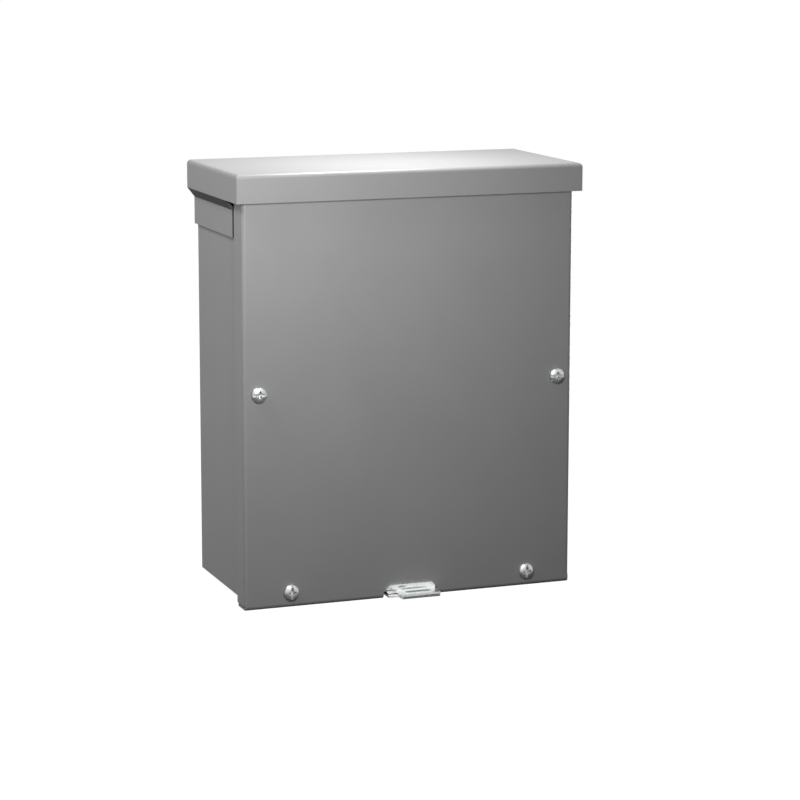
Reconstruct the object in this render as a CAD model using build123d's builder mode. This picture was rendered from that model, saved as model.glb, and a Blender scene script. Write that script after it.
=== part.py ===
# Outdoor screw-cover junction box with a drip hood, in folded and painted sheet steel.
# The front faces -Y, X runs to the right and Z up. The wall is the plane Y = 0.
# The origin is on the wall, in the middle of the four mounting holes.
import os
from math import cos, radians, sin, sqrt

from build123d import *

os.makedirs("parts", exist_ok=True)

# Sheet steel, 16 gauge, and the press brake's bend
sheet = 1.52
bend_inside = 0.9
bend_outside = bend_inside + sheet

# Body: a welded tray, open to the front
body_width = 203.2
body_height = 250.0
body_depth = 93.3
flange_width = 16.0
mitre_gap = 0.8

# Mounting feet pressed out of the back
mount_inset_x = 25.4
mount_inset_z = 23.4
mount_hole_d = 7.1
foot_height = 3.3
foot_base_d = 25.0
foot_slope = 40.0

# Drip hood
hood_depth = 99.8
lip_height = 16.7
lip_overhang = 5.9
return_drop = 5.6
leg_length = 16.2
leg_setback = 16.5

# Slip-on cover
cover_flange = 14.5
cover_gap = 1.0
cover_side_gap = 0.38
cover_drop = 4.8
cover_top_gap = 4.0
corner_relief = 0.6

# Cover screws, number 10, with their thread left off
thread_outer_d = 4.83
thread_root_d = 3.96
screw_length = 9.5
screw_head_d = 9.5
screw_head_height = 3.0
screw_skirt = 0.8
screw_crown_r = 3.3
screw_crown_drop = 0.5
screw_slot_width = 1.25
screw_slot_depth = 1.3
cross_width = 1.3
cross_span = 5.4
cross_depth = 2.0
cross_slope = 12.0
screw_hole_d = 5.6
side_screw_inset = 7.8
side_screw_drop = 1.4
bottom_screw_inset = 26.7
bottom_screw_rise = 4.65
tapped_neck_d = 6.2
tapped_neck_height = 2.2

# Retaining washers behind the cover
retainer_d = 8.4
retainer_thickness = 0.6
retainer_play = 0.05

# Padlock hasp on the cover and its staple on the body
hasp_sheet = 1.21
hasp_bend = 0.6
hasp_leg_width = 30.8
hasp_leg_height = 4.0
hasp_corner = 2.2
hasp_tab_width = 24.6
hasp_tab_offset = 3.1
hasp_reach = 11.0
hasp_rise = 3.0
hasp_ear_cut = 1.0
tab_corner = 1.0
padlock_slot_length = 16.3
padlock_slot_width = 3.8
padlock_slot_back = 3.0
hasp_play = 0.3
staple_length = 23.0
staple_joggle = 6.5
staple_ear_reach = 5.0
notch_play = 1.5
notch_rise = 1.2
rivet_spacing = 18.0
rivet_setback = 17.0
rivet_d = 3.2
rivet_head_d = 6.0
rivet_tail_d = 5.0
rivet_head_height = 1.1
rivet_head_flat = 3.4
rivet_play = 0.05

# Ground screw on a pad pressed inwards
ground_inset = 61.6
ground_rise = 29.0
ground_pad_height = 3.3
ground_pad_d = 22.0
ground_washer_d = 10.6
ground_washer_thickness = 0.9
ground_hex = 7.9
ground_head_height = 3.4
ground_head_chamfer = 0.5
ground_slot_width = 1.4
ground_slot_depth = 1.6
ground_screw_length = 6.4

# Conduit knockouts in the bottom
knockout_d = 22.2
knockout_large_d = 28.6
knockout_spacing = 58.0
knockout_setback = 50.0
shear_width = 0.45
shear_depth = 0.9
tie_width = 2.4

# How far a cut runs past the metal it goes through
cut_over = 1.0

# Planes and levels that follow from the sizes above
body_back = -foot_height
mount_spacing_x = body_width - 2 * mount_inset_x
mount_spacing_z = body_height - 2 * mount_inset_z
body_front = body_back - body_depth
body_middle = (body_back + body_front) / 2
body_top = body_height / 2
body_bottom = -body_height / 2
cover_inside = body_front - cover_gap
cover_front = cover_inside - sheet
cover_width = body_width + 2 * (cover_side_gap + sheet)
cover_bottom = body_bottom - cover_drop
cover_top = body_top - cover_top_gap
hood_width = body_width + 2 * lip_overhang
hood_top = body_top + sheet
lip_bottom = hood_top - lip_height
hood_front = body_back - hood_depth
leg_front = body_front + leg_setback
leg_top = lip_bottom - return_drop
flange_back = body_front + sheet
inner_back = body_back - sheet
screw_places = {
    "left": (side_screw_inset - body_width / 2, -side_screw_drop, 0),
    "right": (body_width / 2 - side_screw_inset, -side_screw_drop, 0),
    "bottom_left": (bottom_screw_inset - body_width / 2, body_bottom + bottom_screw_rise, 90),
    "bottom_right": (body_width / 2 - bottom_screw_inset, body_bottom + bottom_screw_rise, 90),
}
screw_points = [(x, z) for x, z, turn in screw_places.values()]
ground_x = ground_inset - body_width / 2
ground_z = body_bottom + ground_rise
hasp_top = cover_bottom + hasp_rise + hasp_sheet
staple_top = cover_bottom + hasp_rise - hasp_play
rivet_y = cover_front + rivet_setback
rivet_xs = {"left": -rivet_spacing / 2, "right": rivet_spacing / 2}
rivet_points = [(x, rivet_y) for x in rivet_xs.values()]


def upright(y):
    """Plane across the box at y, seen from the front: local x is X and local y is Z."""
    return Plane(origin=(0, y, 0), x_dir=(1, 0, 0), z_dir=(0, -1, 0))


def bent_sheet(plane, path, bends, thickness):
    """Section of a folded sheet: path runs along one face, with the metal on its left."""
    with BuildSketch(plane) as section:
        with BuildLine():
            FilletPolyline(*path, radius=bends)
            offset(amount=thickness, side=Side.LEFT)
        make_face()
    return section.sketch


def save(piece, name):
    """Name a finished piece and write it to its own file."""
    piece.part.label = name
    export_step(piece.part, f"parts/{name}.step")


def bent_block(width, depth, height, radius):
    """Block in the middle of the body, rounded where the sheet bends, square at the welds."""
    with BuildPart() as block:
        with Locations((0, body_middle, 0)):
            Box(width, depth, height)
        fillet(block.edges().filter_by(Axis.Z) + block.edges().filter_by(Axis.X), radius)
    return block.part


# Body, folded from one blank and welded along its four short corners
inner = bent_block(body_width - 2 * sheet, body_depth - 2 * sheet, body_height - 2 * sheet, bend_inside)
with BuildPart() as body:
    add(bent_block(body_width, body_depth, body_height, bend_outside))
    add(inner, mode=Mode.SUBTRACT)

    # Front opening inside the four flanges
    with BuildSketch(upright(body_front)):
        Rectangle(body_width - 2 * flange_width, body_height - 2 * flange_width)
    extrude(amount=-2 * sheet, mode=Mode.SUBTRACT)
    with BuildSketch(upright(body_front)):
        with Locations((flange_width / 2 - body_width / 2, body_bottom + flange_width / 2)):
            Rectangle((flange_width - bend_outside) * sqrt(2), mitre_gap, rotation=45)
        mirror(about=Plane.YZ)
        mirror(about=Plane.XZ)
    extrude(amount=-sheet, mode=Mode.SUBTRACT)

    # Mounting feet, pressed outwards to the wall
    with BuildSketch(upright(body_back)):
        with GridLocations(mount_spacing_x, mount_spacing_z, 2, 2):
            Circle(foot_base_d / 2)
    extrude(amount=-foot_height, taper=foot_slope)
    with BuildSketch(upright(inner_back)):
        with GridLocations(mount_spacing_x, mount_spacing_z, 2, 2):
            Circle(foot_base_d / 2 - sheet / 2)
    extrude(amount=-foot_height, taper=foot_slope, mode=Mode.SUBTRACT)
    with BuildSketch(upright(0)):
        with GridLocations(mount_spacing_x, mount_spacing_z, 2, 2):
            Circle(mount_hole_d / 2)
    extrude(amount=2 * sheet, mode=Mode.SUBTRACT)

    # Ground pad, pressed inwards so that its screw stays clear of the wall
    with BuildSketch(upright(inner_back)):
        with Locations((ground_x, ground_z)):
            Circle(ground_pad_d / 2)
    extrude(amount=ground_pad_height, taper=foot_slope)
    with BuildSketch(upright(body_back)):
        with Locations((ground_x, ground_z)):
            Circle(ground_pad_d / 2 - sheet / 2)
    extrude(amount=ground_pad_height, taper=foot_slope, mode=Mode.SUBTRACT)
    with BuildSketch(upright(body_back)):
        with Locations((ground_x, ground_z)):
            Circle(thread_outer_d / 2)
    extrude(amount=sheet + ground_pad_height, mode=Mode.SUBTRACT)

    # Tapped necks drawn out of the flanges for the cover screws
    with BuildSketch(upright(flange_back)):
        with Locations(*screw_points):
            Circle(tapped_neck_d / 2)
    extrude(amount=-tapped_neck_height)
    with BuildSketch(upright(body_front)):
        with Locations(*screw_points):
            Circle(thread_outer_d / 2)
    extrude(amount=-sheet - tapped_neck_height, mode=Mode.SUBTRACT)

    # Rivet holes for the staple
    with BuildSketch(Plane.XY.offset(body_bottom)):
        with Locations(*rivet_points):
            Circle(rivet_d / 2 + rivet_play)
    extrude(amount=sheet, mode=Mode.SUBTRACT)

    # Knockouts, sheared most of the way round and held by two ties each, two of them nested
    knockout_y = cover_front + knockout_setback
    with BuildSketch(Plane.XY.offset(body_bottom)):
        with Locations((0, knockout_y)):
            Circle(knockout_large_d / 2)
            Circle(knockout_large_d / 2 - shear_width, mode=Mode.SUBTRACT)
        with Locations((0, knockout_y), (-knockout_spacing, knockout_y), (knockout_spacing, knockout_y)):
            Circle(knockout_d / 2)
            Circle(knockout_d / 2 - shear_width, mode=Mode.SUBTRACT)
            Rectangle(tie_width, knockout_large_d, mode=Mode.SUBTRACT)
    extrude(amount=shear_depth, mode=Mode.SUBTRACT)
save(body, "enclosure_body")

# Drip hood: a cap with mitred and welded lips, then a sloped return and a leg on each side
hood_side = hood_width / 2
leg_face = body_width / 2 + sheet
return_path = [
    (-hood_side, lip_bottom + bend_outside),
    (-hood_side, lip_bottom),
    (-leg_face, leg_top),
    (-leg_face, leg_top - leg_length),
]
with BuildPart() as hood_inside:
    with Locations((0, hood_front + sheet, lip_bottom)):
        Box(
            hood_width - 2 * sheet,
            hood_depth - sheet,
            lip_height - sheet,
            align=(Align.CENTER, Align.MIN, Align.MIN),
        )
    ceiling = hood_inside.faces().sort_by(Axis.Z)[-1].edges()
    fillet(ceiling.filter_by(Axis.Y) + ceiling.sort_by(Axis.Y)[:1], bend_inside)
with BuildPart() as hood:
    with Locations((0, hood_front, lip_bottom)):
        Box(hood_width, hood_depth, lip_height, align=(Align.CENTER, Align.MIN, Align.MIN))
    roof = hood.faces().sort_by(Axis.Z)[-1].edges()
    fillet(roof.filter_by(Axis.Y) + roof.sort_by(Axis.Y)[:1], bend_outside)
    add(hood_inside.part, mode=Mode.SUBTRACT)
    side_plane = upright(leg_front)
    extrude(
        bent_sheet(side_plane, return_path, (bend_outside, bend_inside), sheet),
        amount=leg_front - body_back,
    )
    mirror(about=Plane.YZ)
save(hood, "drip_hood")

# Cover: a shallow pan with side flanges and a bottom flange, plain along its top edge
cover_side = cover_width / 2
flange_rear = cover_front + cover_flange
with BuildPart() as cover:
    wrap = [
        (-cover_side, flange_rear),
        (-cover_side, cover_front),
        (cover_side, cover_front),
        (cover_side, flange_rear),
    ]
    extrude(
        bent_sheet(Plane.XY.offset(cover_bottom + bend_outside), wrap, bend_outside, sheet),
        amount=cover_top - cover_bottom - bend_outside,
    )
    hem = [
        (cover_front, cover_bottom + 2 * bend_outside),
        (cover_front, cover_bottom),
        (flange_rear, cover_bottom),
    ]
    side_on = Plane.YZ.offset(corner_relief - cover_side)
    extrude(bent_sheet(side_on, hem, bend_outside, sheet), amount=2 * (cover_side - corner_relief))
    with BuildSketch(upright(cover_front)):
        with Locations(*screw_points):
            Circle(screw_hole_d / 2)
    extrude(amount=-sheet, mode=Mode.SUBTRACT)
    with BuildSketch(Plane.XY.offset(cover_bottom)):
        with Locations((0, cover_front)):
            Rectangle(hasp_leg_width + 2 * notch_play, 2 * (cover_flange + cut_over))
    extrude(amount=hasp_rise + notch_rise, mode=Mode.SUBTRACT)
save(cover, "cover")

# Padlock hasp: an angle spot-welded to the cover, with its tab set to the right
tab_left = hasp_tab_offset - hasp_tab_width / 2
tab_front = cover_front - hasp_reach
slot_middle = cover_front - padlock_slot_back - padlock_slot_width / 2
leg_edge = hasp_leg_width / 2
with BuildPart() as hasp:
    angle = [
        (cover_front - hasp_sheet, hasp_top + hasp_leg_height),
        (cover_front - hasp_sheet, hasp_top),
        (tab_front, hasp_top),
    ]
    extrude(bent_sheet(Plane.YZ.offset(-leg_edge), angle, hasp_bend, hasp_sheet), amount=hasp_leg_width)
    leg_corners = hasp.edges().filter_by(Axis.Y).group_by(Axis.Z)[-1]
    chamfer(leg_corners, hasp_corner)
    with BuildSketch(Plane.XY.offset(cover_bottom)):
        with Locations((-leg_edge, cover_front)):
            Rectangle(tab_left + leg_edge, hasp_reach + cut_over, align=(Align.MIN, Align.MAX))
    extrude(amount=hasp_rise + hasp_sheet + hasp_ear_cut, mode=Mode.SUBTRACT)
    fillet(hasp.edges().filter_by(Axis.Z).group_by(Axis.Y)[0], tab_corner)
    with BuildSketch(Plane.XY.offset(cover_bottom)):
        with Locations((hasp_tab_offset, slot_middle)):
            SlotOverall(padlock_slot_length, padlock_slot_width)
    extrude(amount=2 * hasp_rise, mode=Mode.SUBTRACT)
save(hasp, "padlock_hasp")

# Staple: a joggled plate riveted under the body, with the same slot below the hasp's
joggle_rear = cover_front + staple_joggle
joggle_front = joggle_rear - (body_bottom - staple_top)
with BuildPart() as staple:
    step = [
        (cover_front + staple_length, body_bottom),
        (joggle_rear, body_bottom),
        (joggle_front, staple_top),
        (tab_front, staple_top),
    ]
    step_bends = (hasp_bend + hasp_sheet, hasp_bend)
    extrude(bent_sheet(Plane.YZ.offset(-leg_edge), step, step_bends, hasp_sheet), amount=hasp_leg_width)
    with BuildSketch(Plane.XY.offset(cover_bottom)):
        with Locations((-leg_edge, tab_front - cut_over)):
            Rectangle(
                tab_left + leg_edge,
                hasp_reach + cut_over - staple_ear_reach,
                align=(Align.MIN, Align.MIN),
            )
        with Locations((hasp_tab_offset, slot_middle)):
            SlotOverall(padlock_slot_length, padlock_slot_width)
        with Locations(*rivet_points):
            Circle(rivet_d / 2 + rivet_play)
    extrude(amount=cover_drop, mode=Mode.SUBTRACT)
    fillet(staple.edges().filter_by(Axis.Z).group_by(Axis.Y)[0], tab_corner)
save(staple, "padlock_staple")

# Rivets that hold the staple under the body
rivet_stack = hasp_sheet + sheet
for side, x in rivet_xs.items():
    middle = (x, rivet_y, body_bottom - hasp_sheet)
    with BuildPart() as rivet:
        with BuildSketch(Plane(origin=middle, x_dir=(1, 0, 0), z_dir=(0, -1, 0))):
            with BuildLine():
                Polyline(
                    (0, -rivet_head_height),
                    (rivet_head_flat / 2, -rivet_head_height),
                    (rivet_head_d / 2, 0),
                    (rivet_d / 2, 0),
                    (rivet_d / 2, rivet_stack),
                    (rivet_tail_d / 2, rivet_stack),
                    (rivet_tail_d / 2, rivet_stack + rivet_head_height),
                    (0, rivet_stack + rivet_head_height),
                    close=True,
                )
            make_face()
        revolve(axis=Axis(middle, (0, 0, 1)))
    save(rivet, f"staple_rivet_{side}")


def cover_screw(x, z, turn):
    """Pan-head screw with a combined slot and cross, its axis along Y at x and z."""
    seat = (x, cover_front, z)
    head_r = screw_head_d / 2
    shank_r = thread_root_d / 2
    with BuildPart() as screw:
        with BuildSketch(Plane(origin=seat, x_dir=(1, 0, 0), z_dir=(0, 0, 1))):
            with BuildLine():
                Polyline(
                    (0, -screw_head_height),
                    (screw_crown_r, screw_crown_drop - screw_head_height),
                    (head_r, -screw_skirt),
                    (head_r, 0),
                    (shank_r, 0),
                    (shank_r, screw_length),
                    (0, screw_length),
                    close=True,
                )
            make_face()
        revolve(axis=Axis(seat, (0, 1, 0)))
        top = Plane(
            origin=(x, cover_front - screw_head_height, z),
            x_dir=(cos(radians(turn)), 0, sin(radians(turn))),
            z_dir=(0, -1, 0),
        )
        with BuildSketch(top):
            Rectangle(screw_head_d + cut_over, screw_slot_width)
        extrude(amount=-screw_slot_depth, mode=Mode.SUBTRACT)
        with BuildSketch(top):
            Rectangle(cross_span, cross_width)
            Rectangle(cross_width, cross_span)
        extrude(amount=-cross_depth, taper=cross_slope, mode=Mode.SUBTRACT)
    return screw


def retainer(x, z):
    """Thin washer pushed over the thread behind the cover, which keeps the screw in it."""
    with BuildPart() as washer:
        with BuildSketch(upright(cover_inside)):
            with Locations((x, z)):
                Circle(retainer_d / 2)
                Circle(thread_root_d / 2 + retainer_play, mode=Mode.SUBTRACT)
        extrude(amount=-retainer_thickness)
    return washer


# Cover screws and the washers that keep them in the cover
for place, (x, z, turn) in screw_places.items():
    save(cover_screw(x, z, turn), f"cover_screw_{place}")
    save(retainer(x, z), f"screw_retainer_{place}")

# Ground screw, with a slotted hexagon washer head
ground_seat = inner_back - ground_pad_height
with BuildPart() as ground_screw:
    with BuildSketch(upright(ground_seat)):
        with Locations((ground_x, ground_z)):
            Circle(ground_washer_d / 2)
    extrude(amount=ground_washer_thickness)
    with BuildSketch(upright(ground_seat)):
        with Locations((ground_x, ground_z)):
            RegularPolygon(ground_hex / 2, 6, major_radius=False)
    extrude(amount=ground_head_height)
    chamfer(ground_screw.faces().sort_by(Axis.Y)[0].edges(), ground_head_chamfer)
    with BuildSketch(upright(ground_seat)):
        with Locations((ground_x, ground_z)):
            Circle(thread_root_d / 2)
    extrude(amount=-ground_screw_length)
    with BuildSketch(upright(ground_seat - ground_head_height)):
        with Locations((ground_x, ground_z)):
            Rectangle(ground_washer_d, ground_slot_width)
    extrude(amount=-ground_slot_depth, mode=Mode.SUBTRACT)
save(ground_screw, "ground_screw")
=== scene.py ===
from math import pi, radians

import bpy
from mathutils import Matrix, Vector


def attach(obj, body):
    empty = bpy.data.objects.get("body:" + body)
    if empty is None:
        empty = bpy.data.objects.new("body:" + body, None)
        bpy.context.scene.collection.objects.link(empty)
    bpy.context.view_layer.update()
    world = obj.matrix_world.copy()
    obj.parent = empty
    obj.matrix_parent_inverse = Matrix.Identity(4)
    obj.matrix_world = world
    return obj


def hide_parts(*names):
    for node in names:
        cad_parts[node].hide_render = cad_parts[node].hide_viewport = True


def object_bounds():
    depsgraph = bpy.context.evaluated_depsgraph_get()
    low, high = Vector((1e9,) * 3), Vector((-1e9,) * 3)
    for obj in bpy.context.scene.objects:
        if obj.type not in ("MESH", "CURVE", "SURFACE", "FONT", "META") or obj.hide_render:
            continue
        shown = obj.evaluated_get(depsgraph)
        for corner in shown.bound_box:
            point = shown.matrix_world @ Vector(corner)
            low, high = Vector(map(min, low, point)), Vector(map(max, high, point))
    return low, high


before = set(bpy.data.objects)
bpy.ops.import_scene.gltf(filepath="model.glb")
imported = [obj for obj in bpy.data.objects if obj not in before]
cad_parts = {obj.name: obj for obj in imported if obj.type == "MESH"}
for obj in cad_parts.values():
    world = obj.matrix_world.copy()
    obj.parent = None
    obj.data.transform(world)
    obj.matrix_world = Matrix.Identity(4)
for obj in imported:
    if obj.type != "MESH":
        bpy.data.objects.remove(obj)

cad_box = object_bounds()

# Enclosure, drip hood and cover.
# 16 gauge sheet steel, cut, folded and spot welded, then sprayed with grey powder and baked.
# The coat is one unbroken satin skin, and it flows round over the sheared sheet edges.


def linear(code):
    """Turn an sRGB hex colour into the linear colour that a shader wants."""
    shares = [int(code[i:i + 2], 16) / 255 for i in (1, 3, 5)]
    return [s / 12.92 if s <= 0.04045 else ((s + 0.055) / 1.055) ** 2.4 for s in shares] + [1.0]


def node(tree, kind, inputs=None, **settings):
    """Add a node to a material. An input is a plain value, or the output that it is linked from."""
    made = tree.nodes.new(kind)
    for name, value in settings.items():
        setattr(made, name, value)
    for name, value in (inputs or {}).items():
        if isinstance(value, bpy.types.NodeSocket):
            tree.links.new(value, made.inputs[name])
        else:
            made.inputs[name].default_value = value
    return made


def new_finish(name):
    """Make a material with an empty node tree, and return both."""
    made = bpy.data.materials.new(name)
    made.use_nodes = True
    made.node_tree.nodes.clear()
    return made, made.node_tree


# Polyester powder coat: satin, neutral grey. Baked powder flows out to a faint orange peel, 6
# microns high, on sheet that is flat to 0.06 mm. Its tone clouds a little over larger stretches.
cloud_size = 0.045
ripple_size = 0.07
ripple_height = 0.00006
peel_size = 0.0015
peel_height = 0.000006
coat_rounding = 0.0003
powder_coat, tree = new_finish("grey_polyester_powder_coat")
place = node(tree, "ShaderNodeTexCoord").outputs["Object"]
cloud = node(
    tree, "ShaderNodeTexNoise",
    {"Vector": place, "Scale": 1 / cloud_size, "Detail": 3.0, "Roughness": 0.55},
)
tone = node(tree, "ShaderNodeMix", {"Factor": cloud.outputs["Fac"]}, data_type="RGBA")
# The mix node's colour sockets come after its number and vector sockets
tone.inputs[6].default_value = linear("#7b7b7b")
tone.inputs[7].default_value = linear("#828282")
gloss = node(
    tree, "ShaderNodeMapRange",
    {
        "Value": cloud.outputs["Fac"],
        "From Min": 0.3, "From Max": 0.7,
        "To Min": 0.36, "To Max": 0.40,
    },
)
peel = node(
    tree, "ShaderNodeTexNoise",
    {"Vector": place, "Scale": 1 / peel_size, "Detail": 1.0, "Roughness": 0.4},
)
ripple = node(
    tree, "ShaderNodeTexNoise",
    {"Vector": place, "Scale": 1 / ripple_size, "Detail": 1.0, "Roughness": 0.4},
)
rounded = node(tree, "ShaderNodeBevel", {"Radius": coat_rounding}, samples=4)
waves = node(
    tree, "ShaderNodeBump",
    {
        "Height": ripple.outputs["Fac"],
        "Normal": rounded.outputs["Normal"],
        "Distance": ripple_height,
        "Strength": 1.0,
    },
)
skin = node(
    tree, "ShaderNodeBump",
    {
        "Height": peel.outputs["Fac"],
        "Normal": waves.outputs["Normal"],
        "Distance": peel_height,
        "Strength": 1.0,
    },
)
coat = node(
    tree, "ShaderNodeBsdfPrincipled",
    {
        "Base Color": tone.outputs[2],
        "Roughness": gloss.outputs["Result"],
        "IOR": 1.43,
        "Normal": skin.outputs["Normal"],
    },
)
node(tree, "ShaderNodeOutputMaterial", {"Surface": coat.outputs["BSDF"]})


def finish_node(name, material):
    """Give a CAD node one material, in place of the plain one that it comes with."""
    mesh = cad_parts[name].data
    mesh.materials.clear()
    mesh.materials.append(material)


for name in ("enclosure_body", "drip_hood", "cover"):
    finish_node(name, powder_coat)

# Padlock hasp.
# An angle pressed from 18 gauge strip, with clipped corners and a long slot in its tab. It is held
# to the cover by two spot welds, which leave small round dimples in its leg.


def node_box(name):
    """Find the lowest and the highest corner of a CAD node."""
    corners = [corner.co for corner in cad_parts[name].data.vertices]
    return [[end(corner[i] for corner in corners) for i in range(3)] for end in (min, max)]


def node_middle(name):
    """Find a CAD node's middle, to a hundredth of a millimetre in spite of its uneven facets."""
    return [round((low + high) / 2, 5) for low, high in zip(*node_box(name))]


strip = 0.00121
cover_face = round(node_box("cover")[0][1], 5)
leg_front = cover_face - strip
# Spot welds: their places, the round tip that presses them and how deep it sinks
weld_x = (-0.00265, 0.00393)
weld_z = -0.1232
weld_ball = 0.0011
weld_dip = 0.00018
ear_size = (0.0066, strip, 0.0018)
ear_middle = (-0.0121, leg_front + strip / 2, -0.1259)
ear_clip = 0.001
# Sheared edges are rounded by this width, and what turns by less than this angle is smoothed
sheet_edge = 0.00012
sheet_smooth = 20
merge_gap = 0.000002


def zinc_finish(name, colour, bright, dull):
    """Barrel-plated zinc on steel, its roughness between that of bright and of dull spots."""
    made, tree = new_finish(name)
    place = node(tree, "ShaderNodeTexCoord").outputs["Object"]
    # Tumbling in the plating barrel leaves soft dull patches and shallow dents, 2 to 4 mm across
    patch_size = 0.003
    dent_depth = 0.00001
    tumble = node(
        tree, "ShaderNodeTexNoise",
        {"Vector": place, "Scale": 1 / patch_size, "Detail": 3.0, "Roughness": 0.6},
    )
    sheen = node(
        tree, "ShaderNodeMapRange",
        {
            "Value": tumble.outputs["Fac"],
            "From Min": 0.3, "From Max": 0.7,
            "To Min": bright, "To Max": dull,
        },
    )
    dents = node(
        tree, "ShaderNodeBump",
        {"Height": tumble.outputs["Fac"], "Distance": dent_depth, "Strength": 1.0},
    )
    plate = node(
        tree, "ShaderNodeBsdfPrincipled",
        {
            "Base Color": linear(colour),
            "Metallic": 1.0,
            "Roughness": sheen.outputs["Result"],
            "Normal": dents.outputs["Normal"],
        },
    )
    node(tree, "ShaderNodeOutputMaterial", {"Surface": plate.outputs["BSDF"]})
    return made


# Bright zinc: a grey-white mirror, a little milky where the parts have rubbed
zinc_plate = zinc_finish("bright_zinc_plate", "#eceeee", 0.20, 0.30)


def pick(thing):
    """Select one object alone and make it active."""
    bpy.ops.object.select_all(action="DESELECT")
    thing.select_set(True)
    bpy.context.view_layer.objects.active = thing


def welded_copy(node_name, name):
    """Copy a CAD node's shape to a new object, with its loose triangles joined into whole faces."""
    made = bpy.data.objects.new(name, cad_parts[node_name].data.copy())
    bpy.context.collection.objects.link(made)
    made.data.materials.clear()
    pick(made)
    bpy.ops.object.mode_set(mode="EDIT")
    bpy.ops.mesh.select_all(action="SELECT")
    bpy.ops.mesh.remove_doubles(threshold=merge_gap)
    bpy.ops.mesh.dissolve_limited(angle_limit=radians(0.5))
    bpy.ops.object.mode_set(mode="OBJECT")
    return made


def combine(thing, tool, way):
    """Unite a piece with a tool's shape, or cut the tool's shape out of it."""
    pick(thing)
    act = thing.modifiers.new("combine", "BOOLEAN")
    act.operation = way
    act.object = tool
    bpy.ops.object.modifier_apply(modifier="combine")
    bpy.data.objects.remove(tool)


def worn_edges(thing, width, smooth):
    """Round off a piece's sharp edges, and smooth what turns by less than an angle in degrees."""
    pick(thing)
    act = thing.modifiers.new("edges", "BEVEL")
    act.width = width
    act.segments = 2
    act.limit_method = "ANGLE"
    act.angle_limit = radians(40)
    bpy.ops.object.modifier_apply(modifier="edges")
    bpy.ops.object.shade_smooth_by_angle(angle=radians(smooth))


def fit_piece(thing, material, node_name, body):
    """Give a piece its finish and let it stand for its CAD node."""
    thing.data.materials.append(material)
    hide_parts(node_name)
    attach(thing, body)


hasp = welded_copy("padlock_hasp", "pressed_hasp")
# At its left the strip goes on below the leg as a short clipped ear, beside the tab's bend. The
# bend's relief slit parts it from the leg
bpy.ops.object.select_all(action="DESELECT")
bpy.ops.mesh.primitive_cube_add(size=1, location=ear_middle)
ear = bpy.context.object
ear.scale = ear_size
bpy.ops.object.transform_apply(location=True, rotation=True, scale=True)
pick(ear)
bpy.ops.object.mode_set(mode="EDIT")
bpy.ops.mesh.select_mode(type="EDGE")
bpy.ops.mesh.select_all(action="DESELECT")
bpy.ops.object.mode_set(mode="OBJECT")
for edge in ear.data.edges:
    ends = [ear.data.vertices[i].co for i in edge.vertices]
    edge.select = all(end.x < ear_middle[0] and end.z < ear_middle[2] for end in ends)
bpy.ops.object.mode_set(mode="EDIT")
bpy.ops.mesh.bevel(offset=ear_clip, segments=1, affect="EDGES")
bpy.ops.object.mode_set(mode="OBJECT")
combine(hasp, ear, "UNION")
for x in weld_x:
    bpy.ops.object.select_all(action="DESELECT")
    bpy.ops.mesh.primitive_uv_sphere_add(
        segments=32, ring_count=24, radius=weld_ball,
        location=(x, leg_front - weld_ball + weld_dip, weld_z),
    )
    combine(hasp, bpy.context.object, "DIFFERENCE")
worn_edges(hasp, sheet_edge, sheet_smooth)
fit_piece(hasp, zinc_plate, "padlock_hasp", "cover_assembly")

# Padlock staple and its rivets.
# The same strip, joggled down so that its slot lies under the hasp's, and held under the body by
# two solid steel rivets with domed heads. All plated like the hasp.
tab_front = node_box("padlock_staple")[0][1]
edge_skin = 0.0001
body_sheet = 0.00152
rivet_seat = round(node_box("enclosure_body")[0][2], 5) - strip
rivet_stack = strip + body_sheet
rivet_shank = 0.0016
rivet_base = 0.00295
# Level and radius of each ring, out along the head and then along the shank and its set tail
rivet_head = [
    (-0.0001, 0.0030), (-0.0004, 0.00288), (-0.0007, 0.00245), (-0.00095, 0.0017),
    (-0.0011, 0.0007),
]
rivet_tail = [
    (rivet_stack, rivet_shank),
    (rivet_stack + 0.00001, 0.0024), (rivet_stack + 0.00015, 0.0025),
    (rivet_stack + 0.0008, 0.0024), (rivet_stack + 0.0011, 0.0019),
]
rivet_edge = 0.00003
round_smooth = 35
round_sides = 64

staple = welded_copy("padlock_staple", "joggled_staple")
worn_edges(staple, sheet_edge, sheet_smooth)
# The front edge of the staple's tab is torn and dull, and its colour is darkened as painted shade,
# for the shade under the hasp's tab
tear_size = 0.001
tear_depth = 0.00004
painted_shade_edge, tree = new_finish("staple_edge_painted_shade")
place = node(tree, "ShaderNodeTexCoord").outputs["Object"]
tear = node(tree, "ShaderNodeTexNoise", {"Vector": place, "Scale": 1 / tear_size})
torn = node(
    tree, "ShaderNodeBump",
    {"Height": tear.outputs["Fac"], "Distance": tear_depth, "Strength": 1.0},
)
dull = node(
    tree, "ShaderNodeBsdfPrincipled",
    {
        "Base Color": linear("#7d7f7f"),
        "Metallic": 1.0,
        "Roughness": 0.55,
        "Normal": torn.outputs["Normal"],
    },
)
node(tree, "ShaderNodeOutputMaterial", {"Surface": dull.outputs["BSDF"]})
fit_piece(staple, zinc_plate, "padlock_staple", "enclosure")
staple.data.materials.append(painted_shade_edge)
# Faces at the tab's front take the darker edge colour, which is painted shade
for face in staple.data.polygons:
    if face.center.y < tab_front + edge_skin:
        face.material_index = 1


def grow(steps, start):
    """Draw the selected face along Z through rings of level and radius, from a starting ring."""
    level, radius = start
    for next_level, next_radius in steps:
        rise = (0, 0, next_level - level)
        bpy.ops.mesh.extrude_region_move(TRANSFORM_OT_translate={"value": rise})
        share = next_radius / radius
        bpy.ops.transform.resize(value=(share, share, 1), center_override=(0, 0, next_level))
        level, radius = next_level, next_radius


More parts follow.
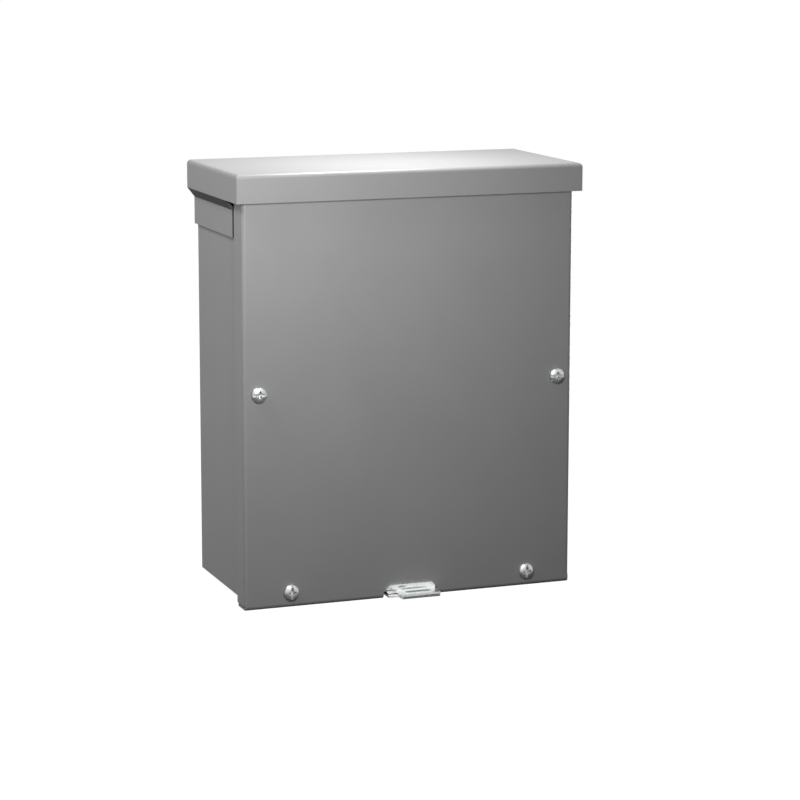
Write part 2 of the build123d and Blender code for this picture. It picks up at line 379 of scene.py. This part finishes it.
def turned(name, base, first, shank, second):
    """Turn a headed piece: its head from first, then its shank and tail from second."""
    bpy.ops.object.select_all(action="DESELECT")
    bpy.ops.mesh.primitive_circle_add(vertices=round_sides, radius=base, fill_type="NGON")
    made = bpy.context.object
    made.name = name
    bpy.ops.object.mode_set(mode="EDIT")
    grow(first, (0, base))
    bpy.ops.mesh.select_all(action="DESELECT")
    bpy.ops.object.mode_set(mode="OBJECT")
    for face in made.data.polygons:
        face.select = len(face.vertices) == round_sides and abs(face.center.z) < 1e-6
    bpy.ops.object.mode_set(mode="EDIT")
    bpy.ops.mesh.select_mode(type="FACE")
    bpy.ops.mesh.inset(thickness=base - shank)
    grow(second, (0, shank))
    bpy.ops.mesh.select_all(action="SELECT")
    bpy.ops.mesh.normals_make_consistent(inside=False)
    bpy.ops.object.mode_set(mode="OBJECT")
    return made


def twin(thing, name):
    """Copy a piece, its mesh too, under a name of its own."""
    made = thing.copy()
    made.data = thing.data.copy()
    made.name = name
    bpy.context.collection.objects.link(made)
    return made


rivet = turned("domed_rivet_left", rivet_base, rivet_head, rivet_shank, rivet_tail)
worn_edges(rivet, rivet_edge, round_smooth)
copies = {"left": rivet, "right": twin(rivet, "domed_rivet_right")}
for side, piece in copies.items():
    across, deep, _ = node_middle(f"staple_rivet_{side}")
    piece.location = (across, deep, rivet_seat)
    pick(piece)
    bpy.ops.object.transform_apply(location=True, rotation=True, scale=True)
    fit_piece(piece, zinc_plate, f"staple_rivet_{side}", "enclosure")

# Cover screws.
# Cold-headed steel, number 10 with 32 threads to the inch, a pan head with a combined slot and
# cross, plated in clear zinc. Washers of plain nylon keep them in the cover.
head_base = 0.00465
head_height = 0.0030
# Level and radius of each ring, out along the head
head_rings = [
    (0.0001, 0.00475), (0.0007, 0.00475), (0.0012, 0.00464), (0.0017, 0.00438), (0.0022, 0.00392),
    (0.0026, 0.00325), (0.00285, 0.0023), (head_height, 0.0009),
]
thread_root = 0.00198
thread_crest = 0.00217
thread_pitch = 0.0254 / 32
thread_turns = 8
thread_steps = 32
# The ridge's foot is sunk into the shank, so that the two unite
ridge_sunk = 0.0001
shank_length = 0.0095
tip_chamfer = 0.0006
screw_edge = 0.00006
# Length, width, depth and draft of the driver's slot, of the cross's two arms, and of the wide
# middle where the arms meet
recesses = [
    (0.0110, 0.0015, 0.0014, 0.00002),
    (0.0056, 0.0018, 0.0022, 0.0006),
    (0.0018, 0.0056, 0.0022, 0.0006),
    (0.0032, 0.0032, 0.0023, 0.0008),
]
# How far each screw's slot is turned
slot_turns = {"left": 0, "right": 0, "bottom_left": 90, "bottom_right": 90}


def thread_ridge(root, crest, turns, foot):
    """Ridge of a screw's thread, of triangular section, wound up Z from its foot."""
    # A triangle is one and a half times as high as its corners stand off its middle
    flank = (crest - root + ridge_sunk) / 1.5
    bpy.ops.object.select_all(action="DESELECT")
    bpy.ops.mesh.primitive_circle_add(
        vertices=3, radius=flank, fill_type="NOTHING",
        location=(crest - flank, 0, foot + flank), rotation=(pi / 2, pi / 2, 0),
    )
    made = bpy.context.object
    bpy.ops.object.transform_apply(location=True, rotation=True, scale=True)
    winding = made.modifiers.new("winding", "SCREW")
    winding.screw_offset = thread_pitch
    winding.iterations = turns
    winding.steps = winding.render_steps = thread_steps
    bpy.ops.object.modifier_apply(modifier="winding")
    bpy.ops.object.mode_set(mode="EDIT")
    bpy.ops.mesh.select_all(action="SELECT")
    bpy.ops.mesh.fill_holes(sides=3)
    bpy.ops.mesh.normals_make_consistent(inside=False)
    bpy.ops.object.mode_set(mode="OBJECT")
    return made


def recess_tool(length, width, depth, draft):
    """Punch for one straight recess in the head, narrower at its foot by the draft on each side."""
    bpy.ops.object.select_all(action="DESELECT")
    bpy.ops.mesh.primitive_cube_add(size=1)
    made = bpy.context.object
    made.scale = (length, width, 2 * depth)
    made.location.z = head_height
    bpy.ops.object.transform_apply(location=True, rotation=True, scale=True)
    bpy.ops.object.mode_set(mode="EDIT")
    bpy.ops.mesh.select_all(action="DESELECT")
    bpy.ops.object.mode_set(mode="OBJECT")
    for face in made.data.polygons:
        face.select = face.normal.z < -0.5
    bpy.ops.object.mode_set(mode="EDIT")
    bpy.ops.transform.resize(
        value=(1 - 2 * draft / length, 1 - 2 * draft / width, 1), center_override=(0, 0, 0)
    )
    bpy.ops.object.mode_set(mode="OBJECT")
    return made


screw = turned(
    "pan_screw_left", head_base, head_rings, thread_root,
    [(tip_chamfer - shank_length, thread_root), (-shank_length, thread_root - tip_chamfer)],
)
ridge = thread_ridge(thread_root, thread_crest, thread_turns, tip_chamfer - shank_length)
combine(screw, ridge, "UNION")
for recess in recesses:
    combine(screw, recess_tool(*recess), "DIFFERENCE")
bpy.ops.object.mode_set(mode="EDIT")
bpy.ops.mesh.select_all(action="SELECT")
bpy.ops.mesh.remove_doubles(threshold=merge_gap)
bpy.ops.object.mode_set(mode="OBJECT")
worn_edges(screw, screw_edge, round_smooth)
# Clear zinc over the scale of cold heading: greyer and duller than the plate on the strip
screw_zinc = zinc_finish("clear_zinc_on_cold_headed_steel", "#c4c6c6", 0.32, 0.42)
# The copies are made while the first screw stands for no node, so that each stands for its own
copies = {"left": screw}
for spot in ("right", "bottom_left", "bottom_right"):
    copies[spot] = twin(screw, f"pan_screw_{spot}")
for spot, piece in copies.items():
    across, _, up = node_middle(f"cover_screw_{spot}")
    piece.location = (across, cover_face, up)
    piece.rotation_euler = (pi / 2, -radians(slot_turns[spot]), 0)
    pick(piece)
    bpy.ops.object.transform_apply(location=True, rotation=True, scale=True)
    fit_piece(piece, screw_zinc, f"cover_screw_{spot}", f"screw_{spot}")

# Natural nylon, punched from sheet: milky, waxy and a little uneven in sheen
milk_size = 0.004
nylon, tree = new_finish("natural_nylon")
place = node(tree, "ShaderNodeTexCoord").outputs["Object"]
milk = node(tree, "ShaderNodeTexNoise", {"Vector": place, "Scale": 1 / milk_size, "Detail": 2.0})
blush = node(
    tree, "ShaderNodeMapRange",
    {"Value": milk.outputs["Fac"], "To Min": 0.42, "To Max": 0.55},
)
moulded = node(
    tree, "ShaderNodeBsdfPrincipled",
    {
        "Base Color": linear("#e6e2d3"),
        "Roughness": blush.outputs["Result"],
        "IOR": 1.53,
        "Subsurface Weight": 0.2,
        "Subsurface Scale": 0.0005,
    },
)
node(tree, "ShaderNodeOutputMaterial", {"Surface": moulded.outputs["BSDF"]})
for spot in slot_turns:
    finish_node(f"screw_retainer_{spot}", nylon)

# Ground screw.
# Slotted hexagon washer head, steel, zinc plated and dyed green so that it is known for the
# earth wire.
ground_spot = (-0.04, -0.00812, -0.096)
ground_crest = 0.0024
ground_turns = 6
dye_size = 0.002
# Dyed zinc: a metal's gloss under a clear green that took unevenly
green_zinc, tree = new_finish("green_dyed_zinc")
place = node(tree, "ShaderNodeTexCoord").outputs["Object"]
dye = node(tree, "ShaderNodeTexNoise", {"Vector": place, "Scale": 1 / dye_size, "Detail": 2.0})
uneven = node(
    tree, "ShaderNodeMapRange",
    {"Value": dye.outputs["Fac"], "To Min": 0.3, "To Max": 0.45},
)
dyed = node(
    tree, "ShaderNodeBsdfPrincipled",
    {"Base Color": linear("#2c7a45"), "Metallic": 0.9, "Roughness": uneven.outputs["Result"]},
)
node(tree, "ShaderNodeOutputMaterial", {"Surface": dyed.outputs["BSDF"]})
ground_screw = welded_copy("ground_screw", "threaded_ground_screw")
ridge = thread_ridge(thread_root, ground_crest, ground_turns, tip_chamfer)
ridge.location = ground_spot
ridge.rotation_euler = (-pi / 2, 0, 0)
pick(ridge)
bpy.ops.object.transform_apply(location=True, rotation=True, scale=True)
combine(ground_screw, ridge, "UNION")
worn_edges(ground_screw, screw_edge, round_smooth)
fit_piece(ground_screw, green_zinc, "ground_screw", "enclosure")

# Floor.
# A plain pale sweep. To the camera and in reflections it is white, and it keeps a faint shadow.
# Reflections that look steeply down on it see the paper itself, which is grey.
floor_level = cad_box[0][2]
floor_size = 60
# How far a look slants down, as a share of its length: white up to the first, paper from the next
white_slant = 0.15
paper_slant = 0.32
# With the paper's own light this comes to just white
paper_glow = 0.982
bpy.ops.object.select_all(action="DESELECT")
bpy.ops.mesh.primitive_plane_add(size=floor_size, location=(0, 0, floor_level))
floor = bpy.context.object
floor.name = "floor"
pale_sweep, tree = new_finish("pale_paper_sweep")
rays = node(tree, "ShaderNodeLightPath").outputs
look = node(tree, "ShaderNodeNewGeometry").outputs["Incoming"]
slant = node(tree, "ShaderNodeSeparateXYZ", {0: look})
flat_look = node(
    tree, "ShaderNodeMapRange",
    {
        "Value": slant.outputs["Z"],
        "From Min": white_slant, "From Max": paper_slant,
        "To Min": 1.0, "To Max": 0.0,
    },
    interpolation_type="SMOOTHSTEP",
)
mirrored = node(
    tree, "ShaderNodeMath",
    {0: rays["Is Glossy Ray"], 1: rays["Is Transmission Ray"]}, operation="MAXIMUM",
)
mirrored = node(
    tree, "ShaderNodeMath",
    {0: mirrored.outputs[0], 1: flat_look.outputs[0]}, operation="MULTIPLY",
)
seen = node(
    tree, "ShaderNodeMath",
    {0: rays["Is Camera Ray"], 1: mirrored.outputs[0]}, operation="MAXIMUM",
)
paper = node(tree, "ShaderNodeBsdfDiffuse", {"Color": linear("#707070")})
glow = node(tree, "ShaderNodeEmission", {"Color": linear("#ffffff"), "Strength": paper_glow})
lit = node(tree, "ShaderNodeAddShader", {0: paper.outputs[0], 1: glow.outputs[0]})
both = node(
    tree, "ShaderNodeMixShader",
    {0: seen.outputs[0], 1: paper.outputs[0], 2: lit.outputs[0]},
)
node(tree, "ShaderNodeOutputMaterial", {"Surface": both.outputs[0]})
floor.data.materials.append(pale_sweep)

# Studio light.
# White surroundings for the camera and the reflections, a dim even fill, and soft boxes.
world = bpy.data.worlds.new("studio")
bpy.context.scene.world = world
world.use_nodes = True
tree = world.node_tree
tree.nodes.clear()
rays = node(tree, "ShaderNodeLightPath").outputs
seen = node(
    tree, "ShaderNodeMath",
    {0: rays["Is Camera Ray"], 1: rays["Is Glossy Ray"]}, operation="MAXIMUM",
)
seen = node(
    tree, "ShaderNodeMath",
    {0: seen.outputs[0], 1: rays["Is Transmission Ray"]}, operation="MAXIMUM",
)
fill_strength = 0.12
white_strength = 1.0
fill = node(
    tree, "ShaderNodeBackground", {"Color": linear("#ffffff"), "Strength": fill_strength}
)
white = node(
    tree, "ShaderNodeBackground", {"Color": linear("#ffffff"), "Strength": white_strength}
)
both = node(
    tree, "ShaderNodeMixShader",
    {0: seen.outputs[0], 1: fill.outputs[0], 2: white.outputs[0]},
)
node(tree, "ShaderNodeOutputWorld", {"Surface": both.outputs[0]})

soft_boxes = [
    # name, place, aimed at, size, watts
    ("left_side", (-0.436, -0.151, 0.563), (-0.07, -0.1, 0.09), 0.18, 3.15),
    ("front_key", (-0.1165, -0.365, 0.167), (-0.07, -0.1, 0.09), 0.084, 1.15),
    ("over_roof", (0.0, -0.075, 0.25), (0.0, -0.05, 0.12), 0.08, 0.58),
    ("behind", (0.7, 0.35, 0.0), (0.0, -0.05, 0.0), 0.32, 2.9),
]
for name, spot, target, size, watts in soft_boxes:
    bpy.ops.object.light_add(type="AREA", location=spot)
    lamp = bpy.context.object
    lamp.name = name
    lamp.data.size = size
    lamp.data.energy = watts
    lamp.visible_camera = False
    lamp.rotation_euler = (Vector(target) - Vector(spot)).to_track_quat("-Z", "Y").to_euler()

# Camera.
# Where the photograph was taken from: 1.62 m away, 21 degrees to the left and 10 above. Its small
# roll and the frame's shift are the photograph's own.
camera_place = (-0.5575, -1.5567, 0.2794)
camera_target = Vector((0.0061, -0.0599, -0.0068))
camera_roll = 0.0013
bpy.ops.object.camera_add(location=camera_place)
camera = bpy.context.object
aim = camera_target - camera.location
camera.rotation_euler = aim.to_track_quat("-Z", "Y").to_euler()
camera.rotation_euler.rotate_axis("Z", camera_roll)
camera.data.sensor_width = 36
camera.data.lens = 121.01
camera.data.shift_x = 0.0038
camera.data.shift_y = -0.0222
camera.data.clip_end = 100
bpy.context.scene.camera = camera
bpy.context.scene.view_settings.view_transform = "Standard"

bpy.context.view_layer.update()
